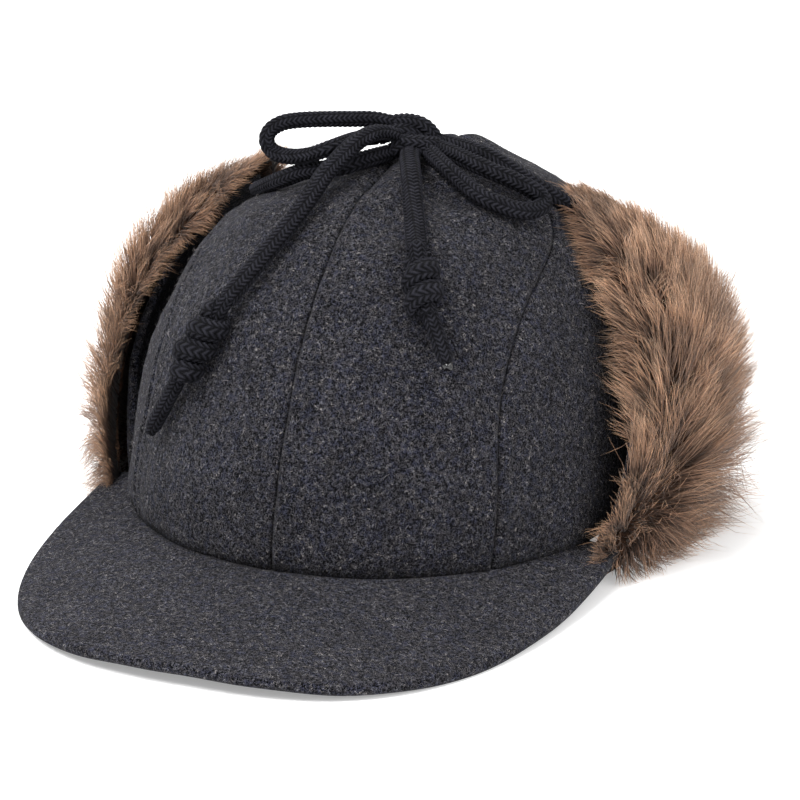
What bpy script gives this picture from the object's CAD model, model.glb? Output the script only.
# %% [markdown]
# # A wool peaked cap with faux fur ear flaps
# The flaps are folded up and tied over the crown with a braided cord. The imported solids
# give every size and place. This lesson dresses them: it gives the cloth its seams and
# fuzz, the cord its braid and the flaps their hair, and it lights them as in a studio.

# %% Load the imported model
import math
import bmesh
import bpy
import numpy as np
from mathutils import Matrix, Vector


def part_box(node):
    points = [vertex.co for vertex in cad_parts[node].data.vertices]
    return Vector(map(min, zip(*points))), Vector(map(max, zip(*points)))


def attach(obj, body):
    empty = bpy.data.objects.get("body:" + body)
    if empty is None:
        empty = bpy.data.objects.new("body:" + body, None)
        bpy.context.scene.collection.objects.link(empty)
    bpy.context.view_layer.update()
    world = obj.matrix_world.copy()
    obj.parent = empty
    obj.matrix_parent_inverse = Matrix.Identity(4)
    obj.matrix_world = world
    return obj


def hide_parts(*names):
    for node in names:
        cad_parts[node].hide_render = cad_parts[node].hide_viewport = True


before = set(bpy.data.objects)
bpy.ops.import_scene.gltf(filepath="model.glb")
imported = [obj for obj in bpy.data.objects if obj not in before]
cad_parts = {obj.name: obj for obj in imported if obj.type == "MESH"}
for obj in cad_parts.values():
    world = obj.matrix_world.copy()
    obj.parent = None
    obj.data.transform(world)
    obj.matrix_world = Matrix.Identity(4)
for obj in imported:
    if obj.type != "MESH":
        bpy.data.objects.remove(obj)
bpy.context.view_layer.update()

MM = 0.001
HALF_LENGTH, HALF_WIDTH = 101.5 * MM, 87.5 * MM
RIM_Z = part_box("crown_back_left")[0].z
RIM_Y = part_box("crown_front_left")[0].y + HALF_LENGTH
RIM_CENTRE = np.array([0.0, RIM_Y, RIM_Z])
scene = bpy.context.scene

# %% [markdown]
# ## The camera
# The photograph was taken from 22 degrees to the wearer's left and about 20 degrees above,
# with a long lens. A camera is a place and three axes. The axes are worked out from those
# two angles, turned a little for the photograph's own roll, and aimed so that the middle of
# the crown's rim falls where it does in the picture.

# %% Camera
PICTURE = 800
FOCAL_PIXELS = 3731
RIM_PIXEL = (387.9, 481.75)
CAMERA_DISTANCE = 1.3
AZIMUTH, ELEVATION, ROLL = (math.radians(angle) for angle in (22.0, 19.72, 0.73))

back = Vector((math.sin(AZIMUTH) * math.cos(ELEVATION),
               -math.cos(AZIMUTH) * math.cos(ELEVATION), math.sin(ELEVATION)))
level = Vector((math.cos(AZIMUTH), math.sin(AZIMUTH), 0))
upward = back.cross(level)
across = math.cos(ROLL) * level + math.sin(ROLL) * upward
upward = math.cos(ROLL) * upward - math.sin(ROLL) * level
place = Vector(RIM_CENTRE) + CAMERA_DISTANCE * back
back = (back * FOCAL_PIXELS - across * (PICTURE / 2 - RIM_PIXEL[0])
        - upward * (RIM_PIXEL[1] - PICTURE / 2)).normalized()
across = (across - across.dot(back) * back).normalized()
upward = back.cross(across)

lens = bpy.data.cameras.new("camera")
lens.sensor_width = 36
lens.lens = lens.sensor_width * FOCAL_PIXELS / PICTURE
lens.clip_start = 0.05
camera = bpy.data.objects.new("camera", lens)
camera.matrix_world = Matrix((
    (across.x, upward.x, back.x, place.x),
    (across.y, upward.y, back.y, place.y),
    (across.z, upward.z, back.z, place.z),
    (0, 0, 0, 1)))
scene.collection.objects.link(camera)
scene.camera = camera
print("lens", round(lens.lens, 1), "mm")

# %% [markdown]
# ## Building blocks for shapes
# Nearly every soft part of a cap is a sheet: a strip of cloth, or the skin of a cord rolled
# into a tube. One helper lays a flat grid with bmesh, and a rule moves each of its points
# to its place on the cap. The rule gets the whole grid at once as arrays, which is quick.

# %% Grids moved into shape
def piece(name, mesh, material, replaced=()):
    thing = bpy.data.objects.new(name, mesh)
    scene.collection.objects.link(thing)
    mesh.materials.append(material)
    mesh.shade_smooth()
    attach(thing, "root")
    if replaced:
        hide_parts(*replaced)
    print(name, len(mesh.polygons), "faces")
    return thing


def mesh_from(work, name):
    """The bmesh as a mesh; the bmesh itself is used up"""
    mesh = bpy.data.meshes.new(name)
    work.to_mesh(mesh)
    work.free()
    return mesh


def shaped_grid(name, columns, rows, rule, outside=None, closed=True):
    """A grid of columns by rows whose points rule(u, v) places. A closed one is sealed
    into a solid; an open one is turned so that its faces look away from outside."""
    work = bmesh.new()
    work.loops.layers.uv.new("UVMap")
    bmesh.ops.create_grid(work, x_segments=columns, y_segments=rows, size=0.5, calc_uvs=True)
    flat = np.array([vert.co[:2] for vert in work.verts])
    flat = (flat - flat.min(axis=0)) / np.ptp(flat, axis=0)
    for vert, spot in zip(work.verts, rule(flat[:, 0], flat[:, 1])):
        vert.co = spot
    bmesh.ops.remove_doubles(work, verts=work.verts, dist=2e-6)
    if closed:
        bmesh.ops.holes_fill(work, edges=[e for e in work.edges if e.is_boundary], sides=0)
    bmesh.ops.recalc_face_normals(work, faces=work.faces)
    if outside is not None:
        facing = sum(f.normal.dot(f.calc_center_median() - Vector(outside)) for f in work.faces)
        if facing < 0:
            bmesh.ops.reverse_faces(work, faces=work.faces)
    return mesh_from(work, name)


def unit(arrows):
    return arrows / np.maximum(np.linalg.norm(arrows, axis=-1, keepdims=True), 1e-12)


def mixed(a, b, share):
    return a + (b - a) * share


def eased(value, start, end):
    share = np.clip((value - start) / (end - start), 0, 1)
    return share * share * (3 - 2 * share)


def run_along(line):
    """The distance from the line's start to each of its points"""
    return np.append(0, np.cumsum(np.linalg.norm(np.diff(line, axis=0), axis=1)))


def points_at(stops, run, line):
    return np.stack([np.interp(stops, run, line[:, k]) for k in range(3)], axis=1)


def ripples(spots, wavelength, seed):
    """Smooth unevenness between about -1 and 1, from a handful of waves."""
    dice = np.random.default_rng(seed)
    total = np.zeros(len(spots))
    for _ in range(9):
        heading = unit(dice.normal(size=3)) * dice.uniform(0.6, 1.5)
        total += np.sin(spots @ heading * (2 * math.pi / wavelength) + dice.uniform(0, 6.28))
    return total / 4.2


# %% [markdown]
# ## Building blocks for materials
# A material is a net of nodes. One helper places a node and either sets or links each of
# its inputs, so that the nets below read as lists. Two groups hold what several materials
# share: thin curled fibres, and soft blotches.

# %% Node helpers and groups
def put(tree, kind, inputs=None, **settings):
    fresh = tree.nodes.new(kind)
    for key, value in settings.items():
        setattr(fresh, key, value)
    for key, value in (inputs or {}).items():
        if isinstance(value, bpy.types.NodeSocket):
            tree.links.new(value, fresh.inputs[key])
        else:
            fresh.inputs[key].default_value = value
    return fresh


def maths(tree, operation, first, second=0.0, third=0.0):
    return put(tree, "ShaderNodeMath", {0: first, 1: second, 2: third},
               operation=operation).outputs[0]


def spread(tree, value, low, high, to_low=0.0, to_high=1.0):
    return put(tree, "ShaderNodeMapRange", {
        "Value": value, "From Min": low, "From Max": high,
        "To Min": to_low, "To Max": to_high}).outputs["Result"]


def blend(tree, share, first, second, mode="MIX"):
    """Two colours mixed; a Mix node keeps its colours on sockets 6 and 7"""
    return put(tree, "ShaderNodeMix", {0: share, 6: first, 7: second},
               data_type="RGBA", blend_type=mode).outputs[2]


def noise(tree, spots, scale, detail):
    return put(tree, "ShaderNodeTexNoise", {
        "Vector": spots, "Scale": scale, "Detail": detail}).outputs["Fac"]


def object_spots(tree):
    return put(tree, "ShaderNodeTexCoord").outputs["Object"]


def bumped(tree, shader, strength, distance, height):
    tree.links.new(put(tree, "ShaderNodeBump", {
        "Strength": strength, "Distance": distance, "Height": height}).outputs[0],
        shader.inputs["Normal"])


def group(name, inputs, outputs):
    tree = bpy.data.node_groups.new(name, "ShaderNodeTree")
    for title, kind, default in inputs:
        socket = tree.interface.new_socket(title, in_out="INPUT", socket_type=kind)
        if default is not None:
            socket.default_value = default
    for title, kind in outputs:
        tree.interface.new_socket(title, in_out="OUTPUT", socket_type=kind)
    start = tree.nodes.new("NodeGroupInput").outputs
    end = tree.nodes.new("NodeGroupOutput").inputs
    return tree, start, end


def grouped(tree, inner, inputs):
    return put(tree, "ShaderNodeGroup", inputs, node_tree=inner).outputs


def linear(red, green, blue):
    """A colour as it is named on a screen, 0 to 255, as the shader wants it."""
    parts = [value / 255 for value in (red, green, blue)]
    return [p / 12.92 if p <= 0.04045 else ((p + 0.055) / 1.055) ** 2.4 for p in parts] + [1]


# Fibres: where a noise passes through its middle value, it draws a thin curled line.
fibres, start, end = group("Fibres", [
    ("Vector", "NodeSocketVector", None), ("Scale", "NodeSocketFloat", 900.0),
    ("Width", "NodeSocketFloat", 0.03), ("Shift", "NodeSocketFloat", 0.0),
    ("Share", "NodeSocketFloat", 0.5)], [("Mask", "NodeSocketFloat")])
moved = put(fibres, "ShaderNodeVectorMath", {0: start["Vector"], 1: start["Shift"]},
            operation="ADD").outputs[0]
curl = noise(fibres, moved, start["Scale"], 1.0)
line = maths(fibres, "ABSOLUTE", maths(fibres, "SUBTRACT", curl, 0.5))
line = spread(fibres, line, start["Width"], 0.0)
breaks = noise(fibres, moved, maths(fibres, "MULTIPLY", start["Scale"], 0.63), 0.0)
breaks = spread(fibres, breaks, start["Share"], maths(fibres, "ADD", start["Share"], 0.06))
fibres.links.new(maths(fibres, "MULTIPLY", line, breaks), end["Mask"])

# Blotches: slow changes of shade over a surface
blotches, start, end = group("Blotches", [
    ("Vector", "NodeSocketVector", None), ("Scale", "NodeSocketFloat", 30.0),
    ("Dark", "NodeSocketFloat", 0.9), ("Light", "NodeSocketFloat", 1.1)],
    [("Shade", "NodeSocketFloat")])
cloud = noise(blotches, start["Vector"], start["Scale"], 3.0)
blotches.links.new(spread(blotches, cloud, 0.3, 0.7, start["Dark"], start["Light"]),
                   end["Shade"])


def new_material(name, roughness, **constants):
    look = bpy.data.materials.new(name)
    look.use_nodes = True
    tree = look.node_tree
    tree.nodes.clear()
    shader = tree.nodes.new("ShaderNodeBsdfPrincipled")
    tree.links.new(shader.outputs[0], tree.nodes.new("ShaderNodeOutputMaterial").inputs[0])
    shader.inputs["Roughness"].default_value = roughness
    for key, value in constants.items():
        shader.inputs[key.replace("_", " ")].default_value = value
    return look, tree, shader


def shaded(tree, colour, shade):
    """A colour times a grey shade"""
    grey = put(tree, "ShaderNodeCombineColor",
               {"Red": shade, "Green": shade, "Blue": shade}).outputs[0]
    return blend(tree, 1.0, colour, grey, "MULTIPLY")


# %% [markdown]
# ## The cord's material
# The cord is knitted into a tube: five columns of V-shaped stitches, side by side. It
# isn't pure black. It is a cold, dark grey, darkest in the grooves between the stitches.
# The cord's own UV map says where the grooves are: u runs once round the cord, and v runs
# along it in metres. A node group works the V pattern out from that, and the mesh below
# gets the same pattern as real relief.

# %% Cord material
WALES = 5
STITCH = 1.7 * MM
LEG_SLANT = 0.9      # stitches that a leg of the V climbs on its way to the column's edge

stitches, start, end = group("Knit stitches", [("Vector", "NodeSocketVector", None)],
                             [("Height", "NodeSocketFloat"), ("Column", "NodeSocketFloat")])
parts = put(stitches, "ShaderNodeSeparateXYZ", {0: start["Vector"]}).outputs
column = maths(stitches, "FRACT", maths(stitches, "MULTIPLY", parts[0], WALES))
column = maths(stitches, "ABSOLUTE", maths(stitches, "MULTIPLY_ADD", column, 2.0, -1.0))
climb = maths(stitches, "MULTIPLY_ADD", parts[1], 1 / STITCH,
              maths(stitches, "MULTIPLY", column, LEG_SLANT))
wave = maths(stitches, "COSINE", maths(stitches, "MULTIPLY", climb, 2 * math.pi))
stitches.links.new(maths(stitches, "MULTIPLY_ADD", wave, 0.5, 0.5), end["Height"])
stitches.links.new(column, end["Column"])

cord_look, tree, shader = new_material("black braid", 0.8, Specular_IOR_Level=0.08)
on_cord = put(tree, "ShaderNodeUVMap", uv_map="UVMap").outputs[0]
knit = grouped(tree, stitches, {"Vector": on_cord})
groove = maths(tree, "MULTIPLY", knit["Height"], spread(tree, knit["Column"], 1.0, 0.75))
spots = object_spots(tree)
patches = grouped(tree, blotches, {"Vector": spots, "Scale": 300.0, "Dark": 0.65, "Light": 1.4})
filaments = noise(tree, spots, 3200.0, 2.0)
tint = blend(tree, maths(tree, "POWER", groove, 1.1), linear(4, 4, 6), linear(35, 35, 41))
tint = blend(tree, spread(tree, filaments, 0.55, 0.75, 0.0, 0.35), tint, linear(62, 62, 70))
tree.links.new(shaded(tree, tint, patches["Shade"]), shader.inputs["Base Color"])
bumped(tree, shader, 0.8, 0.5 * MM, maths(tree, "MULTIPLY_ADD", filaments, 0.5, groove))

# %% [markdown]
# ## The cord's stretches
# The skin of each stretch is a grid rolled into a tube round its route. The rule lifts the
# skin where a stitch bulges, so the knit is real relief that shows at the cord's edges
# too. A tube can be flattened across one of its two side directions, as the turns of a
# tight knot are.

# %% Routes, above the middle of the rim, in metres
CORD = 0.0064
cord_routes = {
    "cord_run_left": [
        (0.0109, 0.0168, 0.1192), (0.02, 0.0154, 0.1185), (0.0284, 0.0129, 0.1177),
        (0.0369, 0.0116, 0.1149), (0.0451, 0.0116, 0.1107), (0.0515, 0.0136, 0.1068),
        (0.0568, 0.017, 0.103), (0.0608, 0.0216, 0.0999)],
    "cord_run_right": [
        (-0.0012, -0.0009, 0.118), (-0.0049, -0.0093, 0.1179), (-0.0098, -0.0151, 0.1166),
        (-0.018, -0.0138, 0.114), (-0.0262, -0.0133, 0.1122), (-0.0336, -0.0123, 0.109),
        (-0.0411, -0.008, 0.1057), (-0.0483, -0.0016, 0.1023), (-0.0536, 0.0071, 0.0994),
        (-0.0568, 0.0152, 0.0975), (-0.059, 0.0218, 0.0969)],
    "bow_loop_left": [
        (0.0117, 0.0095, 0.1196), (0.0223, 0.003, 0.1192), (0.0308, -0.0012, 0.118),
        (0.0385, -0.0021, 0.116), (0.0446, -0.0007, 0.1136), (0.0495, 0.0012, 0.1111),
        (0.053, 0.0024, 0.1084), (0.0545, 0.0007, 0.1064), (0.0536, -0.0037, 0.1055),
        (0.0508, -0.0088, 0.1059), (0.0467, -0.0119, 0.1073), (0.0418, -0.0136, 0.1092),
        (0.0362, -0.0132, 0.1111), (0.0297, -0.0101, 0.1135), (0.0234, -0.0071, 0.1165),
        (0.0136, 0.0018, 0.1189)],
    "bow_loop_right": [
        (-0.0021, 0.0094, 0.1257), (-0.0088, 0.0059, 0.1275), (-0.0163, 0.0019, 0.1278),
        (-0.0238, -0.0022, 0.1279), (-0.0315, -0.0059, 0.1276), (-0.0368, -0.0089, 0.1267),
        (-0.0401, -0.0114, 0.1243), (-0.0407, -0.0129, 0.1209), (-0.0382, -0.0131, 0.1176),
        (-0.032, -0.0146, 0.117), (-0.024, -0.0161, 0.1186), (-0.0153, -0.016, 0.1222),
        (-0.012, -0.0032, 0.1223), (-0.0071, 0.0036, 0.1221)],
    "cord_tail_side": [
        (-0.0002, 0.0039, 0.1231), (-0.0028, -0.0025, 0.1257), (-0.0052, -0.009, 0.1259),
        (-0.0076, -0.0153, 0.1239), (-0.0099, -0.0217, 0.1205), (-0.0123, -0.0289, 0.1164),
        (-0.0144, -0.0391, 0.1094), (-0.0179, -0.0492, 0.1017), (-0.0217, -0.0572, 0.0948),
        (-0.026, -0.0652, 0.0874), (-0.0292, -0.0713, 0.082)],
    "cord_tail_front": [
        (0.0054, 0.0049, 0.1193), (0.0088, -0.006, 0.1184), (0.0122, -0.0135, 0.1171),
        (0.0157, -0.0213, 0.1146), (0.0193, -0.0289, 0.1104), (0.023, -0.0366, 0.1067),
        (0.0266, -0.0443, 0.1032), (0.0295, -0.0503, 0.1008)],
}
bow_knot_place = np.array((0.004, 0.012, 0.1221))
stopper_routes = {
    "stopper_knot_side": [
        (-0.0299, -0.0727, 0.0808), (-0.042, -0.0824, 0.0564), (-0.0534, -0.079, 0.0354)],
    "stopper_knot_front": [
        (0.0303, -0.0517, 0.1), (0.0389, -0.0652, 0.084), (0.0476, -0.0682, 0.0696)],
}


# %% A knitted tube round a route
RING_SPACING = 0.43 * MM


def smooth_route(knots):
    """Evenly spaced points on a smooth curve through the knots"""
    ends = np.vstack([2 * knots[0] - knots[1], knots, 2 * knots[-1] - knots[-2]])
    share = np.linspace(0, 1, 20, endpoint=False)[:, None]
    spans = []
    for a, b, c, d in zip(ends, ends[1:], ends[2:], ends[3:]):
        spans.append(0.5 * (2 * b + (c - a) * share + (2 * a - 5 * b + 4 * c - d) * share ** 2
                            + (3 * b - a - 3 * c + d) * share ** 3))
    fine = np.vstack(spans + [knots[-1:]])
    run = run_along(fine)
    return points_at(np.linspace(0, run[-1], max(6, round(run[-1] / RING_SPACING)) + 1),
                     run, fine)


INSIDE_CROWN = np.array((0, 20 * MM, 40 * MM))   # above the middle of the rim


def carried_sides(route):
    """An outward direction square to the route at each point, carried along untwisted"""
    ahead = unit(np.gradient(route, axis=0))
    side = route[0] - RIM_CENTRE - INSIDE_CROWN
    sides = []
    for heading in ahead:
        side = unit(side - heading * (side @ heading))
        sides.append(side)
    return np.array(sides)


def braided_tube(name, route, diameter, twist=0.0, taper=None, sides=None, squash=(1, 1)):
    """The route's knitted skin. twist is in turns, taper gives the width along it, and
    squash widens it along sides and square to them."""
    rows = len(route) - 1
    ahead = unit(np.gradient(route, axis=0))
    sides = carried_sides(route) if sides is None else sides
    sides = unit(sides - ahead * (sides * ahead).sum(1, keepdims=True))
    others = np.cross(ahead, sides)
    length = np.linalg.norm(np.diff(route, axis=0), axis=1).sum()
    widths = np.ones(rows + 1) if taper is None else taper(np.linspace(0, 1, rows + 1))

    def rule(u, v):
        row = np.round(v * rows).astype(int)
        angle = 2 * math.pi * (u - 0.5 / WALES + twist * (v - 0.3))
        column = np.abs(np.mod(u * WALES, 1) * 2 - 1)
        leg = np.cos(2 * math.pi * (v * length / STITCH + LEG_SLANT * column))
        rib = 1 - column ** 3
        swell = 0.87 + 0.09 * rib + 0.085 * leg * (0.25 + 0.75 * rib) - 0.03 * (column < 0.1)
        reach = (diameter / 2 * swell * widths[row])[:, None]
        return (route[row] + reach * (squash[0] * np.cos(angle)[:, None] * sides[row]
                                      + squash[1] * np.sin(angle)[:, None] * others[row]))

    mesh = shaped_grid(name, WALES * 6, rows, rule)
    stretch = mesh.uv_layers["UVMap"]
    pairs = np.empty(2 * len(mesh.loops), dtype=np.float32)
    stretch.data.foreach_get("uv", pairs)
    pairs[1::2] *= length
    stretch.data.foreach_set("uv", pairs)
    return mesh, length


WIDTHS = {"bow_loop_right": lambda s: 0.88 + 0 * s,   # seen on its narrow side
          "cord_run_right": lambda s: 0.97 - 0.22 * eased(s, 0.45, 0.8)}
for number, (node, knots) in enumerate(cord_routes.items()):
    route = smooth_route(np.array(knots) + RIM_CENTRE)
    if node == "cord_run_right":   # its far end is drawn down hard on the cloth
        route[:, 2] -= 1.7 * MM * eased(np.linspace(0, 1, len(route)), 0.4, 0.8)
    mesh, length = braided_tube(node + "_braid", route, CORD, twist=0.15 * (-1) ** number,
                                taper=WIDTHS.get(node, lambda s: 0.97 + 0 * s),
                                squash=(0.88, 1.14) if "tail" in node else (1, 1))
    piece(node + "_braid", mesh, cord_look, [node])
    print(node, round(length * 1000, 1), "mm")

# %% [markdown]
# ## The knots
# A stopper knot is the cord wound round itself in turns that touch, with a short end left
# over. The winding is a helix, so its route comes from a turning arm, and the same knitted
# skin goes round it, flattened against the core. The bow's knot is shown as its visible
# turns, set out in the picture's own directions: right, up and towards the viewer.

# %% Stopper knots
WRAP_RADIUS, WRAP_PITCH, KNOT_INSET = 4.1 * MM, 8.0 * MM, 2.6 * MM
CORE, END, RINGS_A_TURN = 5.8 * MM, 5.6 * MM, 260 / 3


def winding(top, bottom, turns, first_angle):
    """A helix from top to bottom, with the outward direction at each point"""
    axis = unit(bottom - top)
    arm = unit(np.cross(axis, (0.2, 1.0, 0.1)))
    other = np.cross(axis, arm)
    share = np.linspace(0, 1, round(RINGS_A_TURN * turns))
    angle = first_angle + 2 * math.pi * turns * share
    outward = np.cos(angle)[:, None] * arm + np.sin(angle)[:, None] * other
    tuck = WRAP_RADIUS * np.clip(np.minimum(share, 1 - share) * 10 + 0.35, 0, 1)[:, None]
    return top + (bottom - top) * share[:, None] + tuck * outward, outward


def joined(name, meshes):
    work = bmesh.new()
    for mesh in meshes:
        work.from_mesh(mesh)
        bpy.data.meshes.remove(mesh)
    return mesh_from(work, name)


for node, (top, bottom, tip) in stopper_routes.items():
    top, bottom, tip = (np.array(p) + RIM_CENTRE for p in (top, bottom, tip))
    inset = unit(bottom - top) * KNOT_INSET
    turns = (np.linalg.norm(bottom - top) - 2 * KNOT_INSET) / WRAP_PITCH
    route, outward = winding(top + inset, bottom - inset, turns, 2.4)
    wound, _ = braided_tube("wound", route, CORD, sides=outward, squash=(0.84, 1.18))
    core_top = top - 1.2 * inset   # it reaches into the stretch above
    core, _ = braided_tube("core", smooth_route(np.array([core_top, mixed(top, bottom, 0.5),
                                                          bottom])), CORE)
    leave = mixed(top, bottom, 0.72)
    route = smooth_route(np.array([leave, mixed(leave, tip, 0.5), tip]))
    end_piece, _ = braided_tube("end", route, END,
                                taper=lambda s: 1 - 0.3 * eased(s, 0.88, 0.99))
    piece(node + "_wound", joined(node, [wound, core, end_piece]),
                           cord_look, [node])

# %% Bow knot
picture_axes = np.array([across[:], upward[:], back[:]])
knot_turns = (   # thickness and route, in millimetres to the right, up and towards the viewer
    (6.0, [(-12.0, 2.6, -1.0), (-7.5, 4.0, 0.8), (-2.4, 4.2, 2.4), (2.2, 2.8, 3.4),
           (5.6, -0.6, 2.6), (7.0, -4.4, 1.0)]),
    (5.8, [(-12.9, -1.0, 3.4), (-7.5, 0.6, 4.2), (-2.6, 0.9, 3.6), (2.0, -0.4, 1.0)]),
    (6.0, [(-10.2, -7.1, 8.0), (-6.0, -5.0, 7.6), (-1.8, -2.8, 4.6)]),
    (6.0, [(5.3, -7.6, 11.4), (3.0, -5.2, 9.4), (0.4, -2.4, 5.4)]),
    (6.0, [(6.6, -4.4, 4.3), (3.6, -2.4, 3.6), (0.2, -0.6, 1.4)]),
    (5.8, [(-1.5, -5.4, 6.2), (-1.8, -2.4, 4.8), (-1.4, 1.0, 1.8)]),
    (5.6, [(-5.6, -1.0, 1.5), (-5.0, -2.6, 6.0), (-1.8, -3.4, 9.4), (2.4, -3.8, 9.8),
           (5.8, -3.8, 7.0), (6.8, -3.6, 2.0)]),
    (7.0, [(-4.0, -1.0, -3.5), (0.5, -0.6, -1.4), (5.0, -1.6, -3.5)]))
turned = [braided_tube(f"turn {number}", smooth_route(
    np.array(knots) * MM @ picture_axes + bow_knot_place + RIM_CENTRE), width * MM)[0]
    for number, (width, knots) in enumerate(knot_turns)]
piece("bow_knot_turns", joined("bow_knot", turned), cord_look, ["bow_knot"])

# %% [markdown]
# The front end of the cord was melted, which left one small glossy bead.

# %% Melted bead
BEAD_RADIUS = 1.9 * MM
bead_look, tree, shader = new_material("melted tip", 0.18, Specular_IOR_Level=0.6)
shader.inputs["Base Color"].default_value = linear(12, 12, 14)
work = bmesh.new()
bmesh.ops.create_icosphere(work, subdivisions=3, radius=BEAD_RADIUS)
for vert in work.verts:
    vert.co *= 1 + 0.14 * math.sin(vert.co.x * 3100) * math.sin(vert.co.z * 2300 + 1)
bead_place = np.array(stopper_routes["stopper_knot_front"][2]) + RIM_CENTRE
bmesh.ops.translate(work, verts=work.verts, vec=Vector(bead_place + (0.2 * MM, 0, -0.6 * MM)))
piece("melted_tip", mesh_from(work, "melted_tip"), bead_look)

# %% [markdown]
# ## The wool's material
# The crown, peak and flaps are charcoal melton: a thick wool cloth whose weave is hidden
# under felted fibres. Close up it is a heather of near-black, blue-grey and brownish wool,
# with pale hairs lying every way. Four layers of the Fibres group draw the hairs, and three
# of them raise the surface slightly as well. The peak's cloth is pressed flat over its
# board, which makes it a shade paler.

# %% Wool material
def heather(name, lightness):
    look, tree, shader = new_material(
        name, 0.95, Sheen_Weight=0.03, Sheen_Roughness=0.5, Specular_IOR_Level=0.05)
    spots = object_spots(tree)
    clouds = grouped(tree, blotches, {"Vector": spots, "Scale": 60.0, "Dark": 0.88,
                                      "Light": 1.12})["Shade"]
    grains = noise(tree, spots, 2400.0, 1.0)
    tints = noise(tree, spots, 380.0, 2.0)
    ground = blend(tree, spread(tree, grains, 0.38, 0.66), linear(2, 2, 3), linear(26, 26, 30))
    fibre_tone = blend(tree, spread(tree, tints, 0.44, 0.62), linear(100, 97, 103),
                       linear(92, 94, 116))
    masks = []
    for scale, width, shift, share, strength, tone in (
            (2700.0, 0.085, 0.0, 0.45, 0.68, fibre_tone),
            (1800.0, 0.065, 3.1, 0.49, 0.76, fibre_tone),
            (1250.0, 0.036, 5.3, 0.51, 0.85, linear(134, 134, 142)),
            (820.0, 0.016, 7.7, 0.58, 0.90, linear(190, 184, 182))):
        mask = grouped(tree, fibres, {"Vector": spots, "Scale": scale, "Width": width,
                                      "Shift": shift, "Share": share})["Mask"]
        mask = maths(tree, "MULTIPLY", mask, strength)
        ground = blend(tree, mask, ground, tone)
        masks.append(mask)
    tree.links.new(shaded(tree, ground, maths(tree, "MULTIPLY", clouds, lightness)),
                   shader.inputs["Base Color"])
    height = maths(tree, "ADD", maths(tree, "ADD", masks[0], masks[1]),
                   maths(tree, "ADD", masks[2], grains))
    bumped(tree, shader, 0.6, 0.4 * MM, height)
    return look


CROWN_LIGHTNESS, PEAK_LIGHTNESS = 0.63, 0.71
wool_look = heather("charcoal wool", CROWN_LIGHTNESS)
peak_look = heather("peak wool", PEAK_LIGHTNESS)

# %% [markdown]
# ## The crown's form
# The crown is four panels. Its form is a full dome whose top is set back, with the slump,
# dents and gathers that the photograph shows. A seam is a groove, because the cloth turns
# in there; the allowance under it makes a low ridge on both sides, and the topstitching
# pulls a finer groove 5 mm away. All of these are added along the dome's own normal.

# %% Dome, dents and seams
CROWN_HEIGHT, FULLNESS, SET_BACK, FRONT_LIFT = 118 * MM, 2.34, 17 * MM, 2.5 * MM
CLOTH = 2.5 * MM
SEAM_UP = (0.0, 0.25, 0.4, 0.5, 0.57, 1.0)
SEAM_TURN = (48, 48, 55, 66, 84, 95)
DENTS = (   # turn, up, depth as a share of the height, wide, tall
    (-115, 0.80, 0.097, 60, 0.22), (118, 0.48, -0.035, 28, 0.14),
    (140, 0.76, 0.012, 30, 0.10), (155, 0.86, -0.034, 30, 0.12),
    (17, 0.69, 0.022, 11, 0.07), (43, 0.76, 0.034, 12, 0.08))
GATHERS, GATHER_DEPTH = 11, 0.022


def rim_lift(turn):
    return FRONT_LIFT * np.maximum(0, np.cos(np.radians(turn))) ** 1.5


def dome(turn, up):
    angle = up * math.pi / 2
    out = np.maximum(np.cos(angle), 0) ** (2 / FULLNESS)
    rise = np.sin(angle) ** (2 / FULLNESS)
    foot = rim_lift(turn)
    return RIM_CENTRE + np.stack([
        HALF_WIDTH * np.sin(np.radians(turn)) * out,
        -HALF_LENGTH * np.cos(np.radians(turn)) * out + SET_BACK * rise,
        foot + (CROWN_HEIGHT - foot) * rise], axis=-1)


def dome_normal(turn, up):
    safe = np.clip(up, 0.004, 0.985)
    across = dome(turn + 0.1, safe) - dome(turn - 0.1, safe)
    upwards = dome(turn, safe + 0.001) - dome(turn, safe - 0.001)
    normal = unit(np.cross(across, upwards))
    return unit(mixed(normal, np.array((0.0, 0.0, 1.0)), eased(up, 0.95, 1.0)[:, None]))


def seam_turn(up):
    """The side seam, rounded where the table's straight rows meet"""
    return sum(np.interp(up + shift, SEAM_UP, SEAM_TURN)
               for shift in np.linspace(-0.06, 0.06, 9)) / 9


def dent_depth(turn, up):
    depth = np.zeros(len(up))
    for centre, level, deep, wide, tall in DENTS:
        aside = np.mod(turn - centre + 180, 360) - 180
        depth += deep * np.exp(-(aside / wide) ** 2 - ((up - level) / tall) ** 2)
    fold = 0.5 + 0.5 * np.cos(GATHERS * np.radians(turn))
    depth += GATHER_DEPTH * fold * eased(up, 0.66, 0.9)
    depth *= 1 - eased(up, 0.84, 0.98)
    return CROWN_HEIGHT * (depth + 0.032 * np.exp(-((1 - up) / 0.11) ** 2))


def off_seam(turn, up, seam):
    """Distance square to a seam, on the cloth, in metres"""
    safe = np.clip(up, 0.006, 0.985)
    run = dome(seam(safe + 0.005), safe + 0.005) - dome(seam(safe - 0.005), safe - 0.005)
    aside = dome(seam(safe) + 0.5, safe) - dome(seam(safe) - 0.5, safe)
    sine = (np.linalg.norm(np.cross(run, aside), axis=1)
            / (np.linalg.norm(run, axis=1) * np.linalg.norm(aside, axis=1)))
    away = np.mod(turn - seam(up) + 180, 360) - 180
    return away * np.linalg.norm(aside, axis=1) * sine


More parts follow.
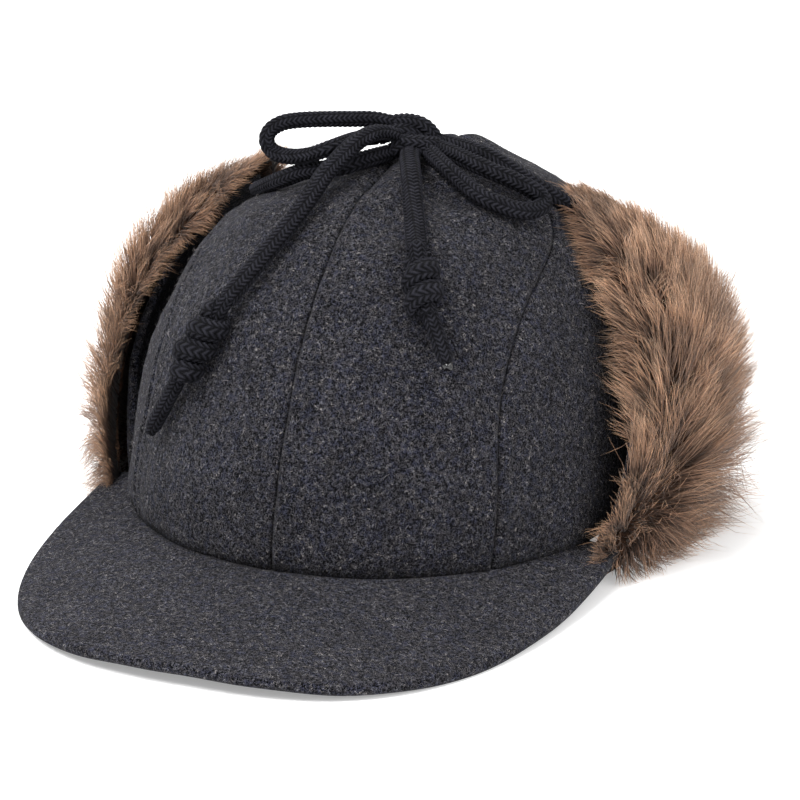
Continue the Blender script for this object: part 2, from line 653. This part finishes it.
SEAMS = (lambda up: 0 * up, seam_turn, lambda up: -seam_turn(up), lambda up: 0 * up + 180)
STITCHED = 5 * MM                                # from the seam to its topstitching
SEAM_DEPTH, SEAM_WIDTH = 1.15 * MM, 0.75 * MM
RIDGE = 0.42 * MM
PULL_DEPTH, PULL_WIDTH = 0.38 * MM, 0.6 * MM     # the groove that the stitches pull


def seam_relief(turn, up):
    """How far the seams raise or lower the cloth"""
    height = np.zeros(len(up))
    fade = 1 - eased(up, 0.9, 1.0)
    for number, seam in enumerate(SEAMS):
        away = np.abs(off_seam(turn, up, seam))
        pucker = 1 + 0.5 * ripples(np.stack([up, up * 0, up * 0], axis=1), 0.06, 40 + number)
        height -= SEAM_DEPTH * np.exp(-(away / SEAM_WIDTH) ** 2)
        height += RIDGE * pucker * (1 - eased(away, STITCHED - 0.6 * MM, STITCHED + 1.6 * MM))
        height -= PULL_DEPTH * np.exp(-((away - STITCHED) / PULL_WIDTH) ** 2)
    return height * fade


def crown_point(turn, up, stand=0.0):
    base = dome(turn, up)
    height = seam_relief(turn, up) - dent_depth(turn, up) + stand
    height += 0.55 * MM * ripples(base, 34 * MM, 5) * (1 - eased(up, 0.9, 1))
    height += 0.14 * MM * ripples(base, 9 * MM, 6) * (1 - eased(up, 0.9, 1))
    tuck = 1.2 * MM * (1 - eased(up, 0.0, 0.02))
    return base + (height - tuck)[:, None] * dome_normal(turn, up)


# %% [markdown]
# Each panel is an open grid, finer beside its seams, and a Solidify modifier gives it the
# cloth's thickness. The panels' edges meet at the bottom of the seam's groove.

# %% Crown panels
PANEL_ROWS, FRONT_COLUMNS, BACK_COLUMNS = 84, 48, 60


def walled(thing, name, thickness):
    """Gives an open sheet its thickness, inwards"""
    wall = thing.modifiers.new(name, "SOLIDIFY")
    wall.thickness = thickness
    wall.offset = -1


def crown_panel(node, first, last, columns):
    def rule(u, v):
        share = u - 0.55 * np.sin(2 * math.pi * u) / (2 * math.pi)
        up = v - 0.18 * np.sin(2 * math.pi * v) / (2 * math.pi)
        turn = mixed(first(up), last(up), share)
        return crown_point(turn, up)

    mesh = shaped_grid(node, columns, PANEL_ROWS, rule, closed=False,
                       outside=RIM_CENTRE + (0, SET_BACK / 2, 0.02))
    walled(piece(node + "_wool", mesh, wool_look, [node]), "cloth", CLOTH)


crown_panel("crown_front_left", SEAMS[0], SEAMS[1], FRONT_COLUMNS)
crown_panel("crown_front_right", SEAMS[2], SEAMS[0], FRONT_COLUMNS)
crown_panel("crown_back_left", SEAMS[1], SEAMS[3], BACK_COLUMNS)
crown_panel("crown_back_right", lambda up: 0 * up - 180, SEAMS[2], BACK_COLUMNS)

# %% [markdown]
# ## Topstitching
# A row of stitches runs 5 mm from each seam, in thread of the cloth's own colour. One
# stitch is a small round bar with closed ends. Copies of it are laid end to end along the
# row, each turned along the cloth, with a short gap where the thread dives in.

# %% One shape laid out many times
def taken_apart(shape):
    """The triangles' corners and the vertices of a bmesh, which is used up"""
    bmesh.ops.triangulate(shape, faces=shape.faces)
    shape.verts.index_update()
    corners = np.array([[v.index for v in face.verts] for face in shape.faces])
    own = np.array([v.co[:] for v in shape.verts])
    shape.free()
    return corners, own


def laid_out(name, corners, verts, uvs=None):
    """Many copies of one shape as one mesh. verts holds a row of vertices for each copy,
    and uvs a pair for every vertex of them all."""
    count, size = verts.shape[:2]
    faces = (corners[None] + (np.arange(count) * size)[:, None, None]).reshape(-1, 3)
    verts = verts.reshape(-1, 3)
    mesh = bpy.data.meshes.new(name)
    mesh.vertices.add(len(verts))
    mesh.vertices.foreach_set("co", verts.astype(np.float32).ravel())
    mesh.loops.add(faces.size)
    mesh.loops.foreach_set("vertex_index", faces.astype(np.int32).ravel())
    mesh.polygons.add(len(faces))
    mesh.polygons.foreach_set("loop_start", np.arange(0, faces.size, 3, dtype=np.int32))
    mesh.update(calc_edges=True)
    if uvs is not None:
        layer = mesh.uv_layers.new(name="UVMap")
        layer.data.foreach_set("uv", uvs[faces.ravel()].astype(np.float32).ravel())
    return mesh


STITCH_PITCH = 3.4 * MM
STITCH_HALF = np.array((1.25, 0.28, 0.22)) * MM   # half its length, width and height
rows_of_stitches = []
for seam in SEAMS:
    for side in (-1, 1):
        up = np.linspace(0.012, 0.9, 500)
        per_degree = off_seam(seam(up) + 1, up, seam)
        turn = seam(up) + side * STITCHED / per_degree
        line = crown_point(turn, up, -0.05 * MM)
        run = run_along(line)
        stops = np.arange(STITCH_PITCH, run[-1], STITCH_PITCH)
        middle = points_at(stops, run, line)
        ahead = points_at(stops + 0.5 * MM, run, line) - middle
        normal = dome_normal(np.interp(stops, run, turn), np.interp(stops, run, up))
        rows_of_stitches.append((middle, unit(ahead), normal))
middle, ahead, normal = (np.vstack(part) for part in zip(*rows_of_stitches))
across_it = unit(np.cross(normal, ahead))
bar = bmesh.new()
bmesh.ops.create_icosphere(bar, subdivisions=1, radius=1)
corners, own = taken_apart(bar)
axes = np.stack([ahead, across_it, normal], axis=1) * STITCH_HALF[:, None]
stitches_laid = middle[:, None, :] + np.einsum("vk,nkx->nvx", own, axes)

thread_look, tree, shader = new_material("charcoal thread", 0.7, Specular_IOR_Level=0.3)
plies = noise(tree, object_spots(tree), 3000.0, 1.0)
tree.links.new(blend(tree, spread(tree, plies, 0.35, 0.65), linear(22, 22, 25),
                     linear(50, 50, 55)), shader.inputs["Base Color"])
piece("topstitching", laid_out("topstitching", corners, stitches_laid), thread_look)

# %% [markdown]
# ## The peak
# The peak is a stiff board wrapped in the same wool. Its section is a flat loop: along the
# top, round a blunt nose, back underneath and up at the crown. The grid's rows go round
# that loop, and its columns go from one ear to the other, where the two ends are sealed.

# %% Peak
PEAK_LENGTH, PEAK_HALF_WIDTH, PEAK_SLOPE = 69 * MM, 94 * MM, math.radians(5.9)
PEAK_SAG, PEAK_SQUARENESS, PEAK_THICKNESS, PEAK_END = 12 * MM, 2.7, 4 * MM, 75


def peak_edge(share):
    angle = share * math.pi / 2
    bow = 2 / PEAK_SQUARENESS
    end_y = -HALF_LENGTH * math.cos(math.radians(PEAK_END))
    tip_y = -HALF_LENGTH - PEAK_LENGTH * math.cos(PEAK_SLOPE)
    x = np.sign(share) * PEAK_HALF_WIDTH * np.abs(np.sin(angle)) ** bow
    y = end_y + (tip_y - end_y) * np.abs(np.cos(angle)) ** bow
    fall = math.tan(PEAK_SLOPE) * (-y - HALF_LENGTH)
    z = FRONT_LIFT - fall - PEAK_SAG * (x / PEAK_HALF_WIDTH) ** 2
    return RIM_CENTRE + np.stack([x, y, z], axis=-1)


def peak_point(share, out, down):
    """share goes -1 to 1 round the rim, out goes 0 to 1 to the edge, down in metres"""
    turn = np.radians(PEAK_END * share)
    inside = RIM_CENTRE + np.stack([
        (HALF_WIDTH - CLOTH) * np.sin(turn), -(HALF_LENGTH - CLOTH) * np.cos(turn),
        rim_lift(PEAK_END * share) - 0.3 * MM], axis=-1)
    spot = mixed(inside, peak_edge(share), out[:, None])
    spot[:, 2] -= down
    return spot


# where the loop's top, nose and underside start and where the underside ends, in v
TOP_FROM, NOSE_FROM, UNDER_FROM, UNDER_TO = 0.03, 0.44, 0.58, 0.97


def peak_rule(u, v):
    share = 2 * u - 1
    nose = 2.1 * MM / PEAK_LENGTH
    half = PEAK_THICKNESS / 2
    along_top = np.interp(v, (TOP_FROM, NOSE_FROM), (0, 1))
    round_nose = np.interp(v, (NOSE_FROM, UNDER_FROM), (0, 1))
    back_under = np.interp(v, (UNDER_FROM, UNDER_TO), (0, 1))
    out = (along_top - back_under) * (1 - nose) + nose * np.sin(math.pi * round_nose)
    down = half - half * np.cos(math.pi * round_nose)
    down = np.where(v < TOP_FROM, half * (1 - v / TOP_FROM), down)
    down = np.where(v > UNDER_TO, half * (1 + (1 - v) / TOP_FROM), down)
    spot = peak_point(share, out, down)
    wave = 0.22 * MM * ripples(spot, 26 * MM, 12) * eased(out, 0.15, 0.4)
    edge_seam = 0.35 * MM * np.exp(-((v - 0.545) / 0.008) ** 2)
    rolled = 0.14 * MM * np.exp(-((out - 0.975) / 0.03) ** 2) * (v < NOSE_FROM)
    spot[:, 2] += wave + edge_seam - rolled
    return spot


piece("peak_wool", shaped_grid("peak", 120, 64, peak_rule), peak_look, ["peak"])

# %% [markdown]
# ## The ear flaps
# A flap is a band of wool, folded up round the crown with its foot on the floor. What
# shows of the wool is the side that faces the crown. The section is again a flat loop,
# with round edges at the foot and at the top.

# %% Flaps
FLAP_HEIGHT, FLAP_CLOTH, GAP = 110 * MM, 3 * MM, 0.3 * MM
FLAP = np.array([   # along, foot, head, height, belly, lip
    (0.00, 78, 86, 0.86, 0.050, 0.026), (0.07, 84, 92, 0.97, 0.060, 0.026),
    (0.16, 93, 101, 1.00, 0.075, 0.030), (0.28, 105, 113, 0.93, 0.090, 0.055),
    (0.42, 120, 126, 0.76, 0.090, 0.090), (0.60, 139, 142, 0.62, 0.080, 0.115),
    (0.80, 160, 161, 0.56, 0.070, 0.120), (1.00, 180, 180, 0.55, 0.070, 0.120)])


def flap_row(along, column):
    """A column of the table, in straight lines carried on past both of its ends"""
    at, values = FLAP[:, 0], FLAP[:, column]
    low = values[0] + (along - at[0]) * (values[1] - values[0]) / (at[1] - at[0])
    return np.where(along < 0, low, np.interp(along, at, values))


def flap_point(along, rise, stand, side):
    turn = np.radians(mixed(flap_row(along, 1), flap_row(along, 2), rise))
    full = FLAP_HEIGHT * flap_row(along, 3)
    height = full * rise
    share = np.clip((height - RIM_Z) / CROWN_HEIGHT, 0, 0.97)
    inset = (1 - share ** FULLNESS) ** (1 / FULLNESS)
    free = np.maximum(0, height - RIM_Z) / (full - RIM_Z)
    bulge = 4 * free * (1 - free) * FLAP_HEIGHT * flap_row(along, 4)
    stand = GAP + FLAP_HEIGHT * flap_row(along, 5) * free + bulge + stand
    away = unit(np.stack([np.sin(turn) / HALF_WIDTH, -np.cos(turn) / HALF_LENGTH], axis=-1))
    x = np.maximum(HALF_WIDTH * inset * np.sin(turn) + stand * away[..., 0], GAP / 2)
    y = RIM_Y - HALF_LENGTH * inset * np.cos(turn) + SET_BACK * share + stand * away[..., 1]
    return np.stack([side * x, y, height], axis=-1)


FOOT_REACH = 0.034   # how far the foot goes on forwards, to meet the peak's end


def flap_rule(side):
    def rule(u, v):
        turn = 2 * math.pi * v
        squared = np.sign(np.sin(turn)) * np.abs(np.sin(turn)) ** 0.5
        rise = 0.5 - 0.5 * np.sign(np.cos(turn)) * np.abs(np.cos(turn)) ** 0.55
        rise = np.clip(rise, 0.002, 0.998)
        reach = FOOT_REACH * (1 - eased(rise, 0.12, 0.3)) * (1 - u)
        spot = flap_point(u - reach, rise, FLAP_CLOTH / 2 * (1 + squared), side)
        sway = 0.5 * MM * ripples(spot, 30 * MM, 21)
        spot[:, 0] += sway * side * eased(spot[:, 2], 0, 0.02)
        return spot
    return rule


for side, name in ((1, "left"), (-1, "right")):
    piece(f"flap_{name}_wool", shaped_grid(f"flap_{name}", 70, 56, flap_rule(side)),
          wool_look, [f"flap_{name}"])

# %% [markdown]
# ## The fur
# Faux fur has two kinds of hair on a knitted backing: a short woolly underfur, and long
# guard hairs, dark at the root and tan at the tip, that lie together in tufts. Single
# hairs make the look, so they are real: thin three-sided cones, bent, laid out tens of
# thousands of times over a lumpy underfur skin. Hair curves would be lighter, but a mesh
# also works outside Blender.

# %% Fur materials
hair_look, tree, shader = new_material(
    "brown pile", 0.42, Specular_IOR_Level=0.45, Sheen_Weight=0.15, Sheen_Roughness=0.5)
hair_map = put(tree, "ShaderNodeSeparateXYZ", {
    0: put(tree, "ShaderNodeUVMap", uv_map="UVMap").outputs[0]}).outputs
ramp = put(tree, "ShaderNodeValToRGB", {"Fac": hair_map[1]})
stops = ((0.0, linear(24, 16, 11)), (0.35, linear(58, 39, 28)), (0.65, linear(110, 79, 58)),
         (0.88, linear(170, 132, 102)), (1.0, linear(222, 190, 158)))
for position, colour in stops[1:-1]:
    ramp.color_ramp.elements.new(position)
for element, (position, colour) in zip(ramp.color_ramp.elements, stops):
    element.position, element.color = position, colour
patches = grouped(tree, blotches, {"Vector": object_spots(tree), "Scale": 80.0,
                                   "Dark": 0.56, "Light": 1.44})["Shade"]
each = spread(tree, hair_map[0], 0.0, 1.0, 0.45, 1.6)
coloured = shaded(tree, ramp.outputs["Color"], maths(tree, "MULTIPLY", patches, each))
warmth = spread(tree, maths(tree, "FRACT", maths(tree, "MULTIPLY", hair_map[0], 7.3)),
                0.0, 1.0, 0.0, 0.3)
coloured = blend(tree, warmth, coloured, linear(140, 112, 94))
tree.links.new(coloured, shader.inputs["Base Color"])

under_look, tree, shader = new_material("underfur", 0.95, Specular_IOR_Level=0.1)
spots = object_spots(tree)
wool_curls = grouped(tree, fibres, {"Vector": spots, "Scale": 520.0, "Width": 0.06,
                                    "Shift": 2.0, "Share": 0.4})["Mask"]
lumps = noise(tree, spots, 420.0, 3.0)
deep = blend(tree, spread(tree, lumps, 0.35, 0.65), linear(28, 19, 14), linear(66, 46, 35))
tree.links.new(blend(tree, wool_curls, deep, linear(98, 74, 58)), shader.inputs["Base Color"])
bumped(tree, shader, 0.9, 1.2 * MM, maths(tree, "ADD", lumps, wool_curls))

# %% Underfur skin
PILE = 26 * MM
FUR_FOOT, FUR_HEAD, FUR_FRONT = 0.03, 1.05, -0.015
FUR_LAP = 0.05                                  # how far its foot laps over the peak's end
THIN_SKIN, THICK_SKIN = 3.0 * MM, 0.40 * PILE   # at the edges and in the middle


def fur_depth(share, rise):
    towards_edge = np.minimum.reduce([share * 5, rise * 3.5, (1 - rise) * 3.5,
                                      np.ones(np.shape(share))])
    return mixed(THIN_SKIN, THICK_SKIN, np.sin(np.clip(towards_edge, 0, 1) * math.pi / 2))


def fur_point(share, rise, stand, side):
    edge = FUR_FRONT - FUR_LAP * (1 - eased(rise, 0.1, 0.45))
    along = mixed(edge, 1, share)
    return flap_point(along, mixed(FUR_FOOT, FUR_HEAD, rise), FLAP_CLOTH + 2 * GAP + stand, side)


def underfur_rule(side):
    def rule(u, v):
        spot = fur_point(u, v, fur_depth(u, v), side)
        lump = 0.9 * MM * ripples(spot, 11 * MM, 31) + 0.5 * MM * ripples(spot, 5 * MM, 32)
        away = unit(fur_point(u, v, 1, side) - fur_point(u, v, 0, side))
        return spot + (lump * eased(v, 0, 0.1))[:, None] * away
    return rule


for side, name in ((1, "left"), (-1, "right")):
    mesh = shaped_grid(f"underfur_{name}", 84, 44, underfur_rule(side), closed=False,
                       outside=RIM_CENTRE + (0, 0, 0.04))
    skin = piece(f"underfur_{name}", mesh, under_look, [f"fur_{name}"])
    walled(skin, "backing", 2.0 * MM)

# %% [markdown]
# Each hair starts inside the underfur and leans the way the pile is brushed: forwards and
# over the edge at the front, up at the top, down and backwards at the foot. Broad swirls
# disturb that.
# Fur also gathers twice over: hairs into wisps, and wisps into locks. So locks are laid
# first, wisps lean to their nearest lock, and hairs to their nearest wisp. All hairs are
# worked out together, as arrays of root, direction and bend.

# %% Where hairs grow and which way
COLUMNS, ROWS = 120, 40   # cells that the cloth is counted in


def evenly_over(count, side, dice):
    """Pairs of share and rise, spread evenly over the cloth's area"""
    share, rise = np.meshgrid(np.linspace(0, 1, COLUMNS + 1), np.linspace(0, 1, ROWS + 1),
                              indexing="ij")
    spots = fur_point(share.ravel(), rise.ravel(), 0, side).reshape(COLUMNS + 1, ROWS + 1, 3)
    wide, tall = np.diff(spots, axis=0)[:, :-1], np.diff(spots, axis=1)[:-1]
    area = np.linalg.norm(np.cross(wide, tall), axis=-1).ravel()
    area *= np.linspace(1.25, 0.75, COLUMNS).repeat(ROWS)   # the front is seen most
    cell = dice.choice(len(area), size=count, p=area / area.sum())
    column, row = np.divmod(cell, ROWS)
    return (column + dice.random(count)) / COLUMNS, (row + dice.random(count)) / ROWS


FRONT_RUN = 0.45   # the front edge's part of the run, beside 1 for the top edge


def along_edges(count, dice):
    """Pairs on the front edge, most of them low, and along the top"""
    run = dice.random(count) * (1 + FRONT_RUN)
    inward = 0.035 * dice.random(count) ** 1.5
    front = run < FRONT_RUN
    share = np.where(front, inward, run - FRONT_RUN)
    rise = np.where(front, np.clip(run / FRONT_RUN, 0, 1) ** 1.7, 1 - 1.5 * inward)
    return share, rise


def brushing(share, rise, side, dice, wildness):
    """Each hair's first and last direction. lean_up and lean_on say how far it lies up
    and forwards along the cloth, for each part that it stands out from it."""
    count = len(share)
    step = 0.01
    depth = fur_depth(share, rise)
    spot = fur_point(share, rise, depth, side)
    ahead = fur_point(share + step, rise, depth, side) - fur_point(share - step, rise, depth, side)
    upwards = unit(fur_point(share, rise + step, depth, side)
                   - fur_point(share, rise - step, depth, side))
    normal = unit(np.cross(ahead, upwards)) * side
    forwards = unit(np.cross(upwards, normal)) * -side
    front = 1 - eased(share, 0.0, 0.12)
    top = eased(rise, 0.82, 1.0)
    foot = 1 - eased(rise, 0.02, 0.34)
    calm = eased(share, 0.0, 0.1) * (1 - eased(share, 0.93, 1.0))
    lean_up = 1.05 - 1.6 * foot * (1 - 0.95 * front) - 0.40 * front
    lean_up += 0.30 * calm * ripples(spot, 34 * MM, 61) + wildness * dice.normal(size=count)
    lean_on = 0.35 - 0.8 * eased(share, 0.06, 0.45) + 0.75 * front
    lean_on -= 0.7 * foot * eased(share, 0.05, 0.2)
    lean_on *= 1 - eased(share, 0.85, 1.0)
    lean_on += 0.30 * calm * ripples(spot, 30 * MM, 62) + wildness * dice.normal(size=count)
    fan = upwards * lean_up[:, None] + forwards * lean_on[:, None]
    outward = (1.0 - 0.55 * front - 0.4 * top)[:, None]
    first = unit(normal * outward + fan)
    above = eased(rise, 0.25, 0.45)   # lower down, the hair stays in front of the gap
    inwards = (front * (0.3 + 0.25 * above) + 0.9 * (1 - eased(share, 0.0, 0.05)) * above
               + 0.45 * top)[:, None]
    last = unit(normal * (0.4 * outward - inwards) + 1.35 * fan - np.array((0, 0, 0.15)))
    return first, last


def pile_length(share, rise):
    """The pile is shorter towards the top and at the front's lower corner, and longer at
    the foot behind"""
    top = eased(rise, 0.55, 1.0)
    corner = (1 - eased(share, 0.03, 0.22)) * (1 - eased(rise, 0.05, 0.35))
    back_foot = eased(share, 0.1, 0.3) * (1 - eased(rise, 0.14, 0.4))
    return PILE * (1.04 - 0.48 * top - 0.34 * corner + 0.6 * back_foot)


# %% Locks, wisps and hairs
LOCKS, WISPS = 330, 1600
GUARD_HAIRS, STRAY_HAIRS, DOWN_HAIRS, EDGE_HAIRS = 11000, 2100, 7000, 2700   # on each side
CURL = 0.07


def strands(share, rise, side, dice, size, wildness, parents=None, pull=None, rings=3):
    """Root and path of each strand; parents are the strands that it leans towards."""
    count = len(share)
    root = fur_point(share, rise, 0.55 * fur_depth(share, rise), side)
    first, last = brushing(share, rise, side, dice, wildness)
    reach = (size * pile_length(share, rise))[:, None, None]
    steps = np.linspace(0, 1, rings + 1)[None, :, None]
    line = root[:, None] + reach * (first[:, None] * (steps - steps ** 2 / 2)
                                    + last[:, None] * steps ** 2 / 2)
    if parents is not None:
        nearest = np.concatenate([
            np.argmin(((part[:, None] - parents[None, :, 0]) ** 2).sum(-1), axis=1)
            for part in np.array_split(root, max(1, count // 1000))])
        guide = parents[:, np.round(steps[0, :, 0] * (parents.shape[1] - 1)).astype(int)]
        line += (guide[nearest] - line) * pull[:, None, None] * steps ** 1.5
    line += reach * CURL * dice.normal(size=(count, 1, 3)) * steps ** 2
    return line


def gathered(side, seed):
    """The wisps of one side, already drawn together into locks"""
    dice = np.random.default_rng(seed)
    locks = strands(*evenly_over(LOCKS, side, dice), side, dice,
                    dice.uniform(0.75, 1.2, LOCKS), 0.34)
    size = 0.80 + 0.34 * dice.random(WISPS) + 0.25 * (dice.random(WISPS) < 0.06)
    return strands(*evenly_over(WISPS, side, dice), side, dice, size, 0.24,
                   locks, dice.uniform(0.35, 0.9, WISPS))


def hairs(names, place, side, seed, wisps, thick, size, pulls, rings=3, wildness=0.18,
          paleness=0.0):
    """Hairs from the pairs in place, cut into as many pieces as there are names"""
    dice = np.random.default_rng(seed)
    share, rise = place
    count = len(share)
    line = strands(share, rise, side, dice, size * dice.uniform(0.72, 1.08, count), wildness,
                   wisps, dice.uniform(*pulls, count), rings)
    floor_gap = (0.6 + 0.8 * dice.random((count, 1))) * MM
    line[..., 2] = np.maximum(line[..., 2], floor_gap)
    thick, chance = thick * dice.uniform(0.75, 1.25, count), dice.uniform(paleness, 1, count)
    for name, part in zip(names, np.array_split(np.argsort(share), len(names))):
        piece(name, cones(name, line[part], thick[part], chance[part]), hair_look)


def cones(name, line, thick, chance):
    """Three-sided tapering hairs along each row of line"""
    count, rings = line.shape[0], line.shape[1] - 1
    shape = bmesh.new()
    bmesh.ops.create_cone(shape, cap_ends=True, segments=3, radius1=1, radius2=0, depth=1)
    bmesh.ops.remove_doubles(shape, verts=shape.verts, dist=1e-4)
    lengthwise = [e for e in shape.edges if abs(e.verts[0].co.z - e.verts[1].co.z) > 0.5]
    bmesh.ops.subdivide_edges(shape, edges=lengthwise, cuts=rings - 1)
    corners, own = taken_apart(shape)
    height = own[:, 2] + 0.5
    ring = np.round(height * rings).astype(int)
    arm = own[:, :2] / np.maximum(np.linalg.norm(own[:, :2], axis=1, keepdims=True), 1e-9)
    arm[ring == rings] = 0
    width = (1 - height) ** 0.55
    heading = unit(line[:, -1] - line[:, 0])
    one = unit(np.cross(heading, (0.31, 0.53, 0.79)))
    two = np.cross(heading, one)
    verts = line[:, ring] + (thick[:, None] * width)[..., None] * (
        arm[None, :, 0, None] * one[:, None] + arm[None, :, 1, None] * two[:, None])
    uvs = np.stack([np.repeat(chance, len(own)), np.tile(height, count)], axis=1)
    return laid_out(name, corners, verts, uvs)


ZONES = ("front", "middle", "back")
for side, name in ((1, "left"), (-1, "right")):
    dice = np.random.default_rng(70 + side)
    wisps = gathered(side, 80 + side)
    hairs([f"guard_hair_{name}_{zone}" for zone in ZONES], evenly_over(GUARD_HAIRS, side, dice),
          side, 90 + side, wisps, 0.15 * MM, 1.0, (0.45, 0.95))
    hairs([f"stray_hair_{name}"], evenly_over(STRAY_HAIRS, side, dice),
          side, 92 + side, wisps, 0.12 * MM, 1.05, (0.0, 0.4), wildness=0.4, paleness=0.7)
    hairs([f"down_hair_{name}_{zone}" for zone in ZONES[:2]], evenly_over(DOWN_HAIRS, side, dice),
          side, 94 + side, wisps, 0.21 * MM, 0.62, (0.2, 0.7), rings=2)
    hairs([f"edge_hair_{name}"], along_edges(EDGE_HAIRS, dice),
          side, 98 + side, wisps, 0.16 * MM, 0.72, (0.0, 0.45))

# %% [markdown]
# ## Fuzz on the wool
# Short pale fibres stand off the felted cloth everywhere. They show against the light
# along the crown's outline. They are the same thin cones, a few millimetres long.

# %% Fuzz
fuzz_look, tree, shader = new_material("wool fuzz", 0.8, Specular_IOR_Level=0.2)
fuzz_map = put(tree, "ShaderNodeSeparateXYZ", {
    0: put(tree, "ShaderNodeUVMap", uv_map="UVMap").outputs[0]}).outputs
tree.links.new(blend(tree, maths(tree, "POWER", fuzz_map[0], 2.5), linear(52, 50, 56),
                     linear(160, 154, 154)), shader.inputs["Base Color"])


def fuzz(name, seed, spots, normals):
    dice = np.random.default_rng(seed)
    count = len(spots)
    slide = dice.normal(size=(count, 3))
    flat = unit(slide - normals * (slide * normals).sum(1, keepdims=True))
    twist = unit(np.cross(normals, flat)) * dice.uniform(-1, 1, (count, 1))
    size = dice.uniform(0.8, 2.6, count)[:, None] * MM
    lift = dice.uniform(0.05, 0.55, (count, 1))
    steps = (0, 0.5, 1)
    line = np.stack([spots + size * (flat * s + twist * 0.6 * s * s
                                     + normals * lift * math.sin(2.4 * s)) for s in steps], axis=1)
    mesh = cones(name, line, dice.uniform(0.035, 0.06, count) * MM, dice.random(count))
    piece(name, mesh, fuzz_look)


CROWN_FUZZ, PEAK_FUZZ = 5200, 2400
dice = np.random.default_rng(7)
up = np.arcsin(dice.random(CROWN_FUZZ) ** 0.85) * 2 / math.pi * 0.97
turn = dice.uniform(-180, 180, CROWN_FUZZ)
fuzz("crown_fuzz", 8, crown_point(turn, up), dome_normal(turn, up))
share, out = dice.uniform(-1, 1, PEAK_FUZZ), dice.uniform(0.08, 0.99, PEAK_FUZZ)
fuzz("peak_fuzz", 9, peak_point(share, out, 0 * out), np.tile((0.0, 0.0, 1.0), (PEAK_FUZZ, 1)))

# %% [markdown]
# ## Studio
# The photograph has a white ground and soft light from above and the left. A pale floor,
# one large soft lamp high on the left, weaker ones on the right and behind, and a bright,
# even surrounding give the same gentle shading.

# %% Floor, lamps and surroundings
work = bmesh.new()
bmesh.ops.create_circle(work, cap_ends=True, segments=64, radius=6)
floor = bpy.data.objects.new("floor", mesh_from(work, "floor"))
scene.collection.objects.link(floor)
floor_look, tree, shader = new_material("pale floor", 0.9, Specular_IOR_Level=0.1)
shader.inputs["Base Color"].default_value = (0.82, 0.82, 0.82, 1)
shader.inputs["Emission Color"].default_value = (1, 1, 1, 1)
shader.inputs["Emission Strength"].default_value = 0.3
floor.data.materials.append(floor_look)


def lamp(name, azimuth, elevation, distance, size, power):
    data = bpy.data.lights.new(name, "AREA")
    data.shape, data.size, data.energy = "DISK", size, power
    light = bpy.data.objects.new(name, data)
    turn, tilt = math.radians(azimuth), math.radians(elevation)
    way = Vector((math.sin(turn) * math.cos(tilt), -math.cos(turn) * math.cos(tilt),
                  math.sin(tilt)))
    light.location = Vector(RIM_CENTRE) + way * distance
    light.rotation_euler = way.to_track_quat("Z", "Y").to_euler()
    scene.collection.objects.link(light)


lamp("key", -28, 52, 1.7, 0.9, 31)
lamp("fill", 75, 30, 1.8, 1.2, 14)
lamp("back", -150, 50, 1.9, 1.2, 22)
world = bpy.data.worlds.new("studio")
world.use_nodes = True
world.node_tree.nodes["Background"].inputs["Color"].default_value = (1, 1, 1, 1)
world.node_tree.nodes["Background"].inputs["Strength"].default_value = 0.75
scene.world = world
scene.view_settings.view_transform = "Standard"
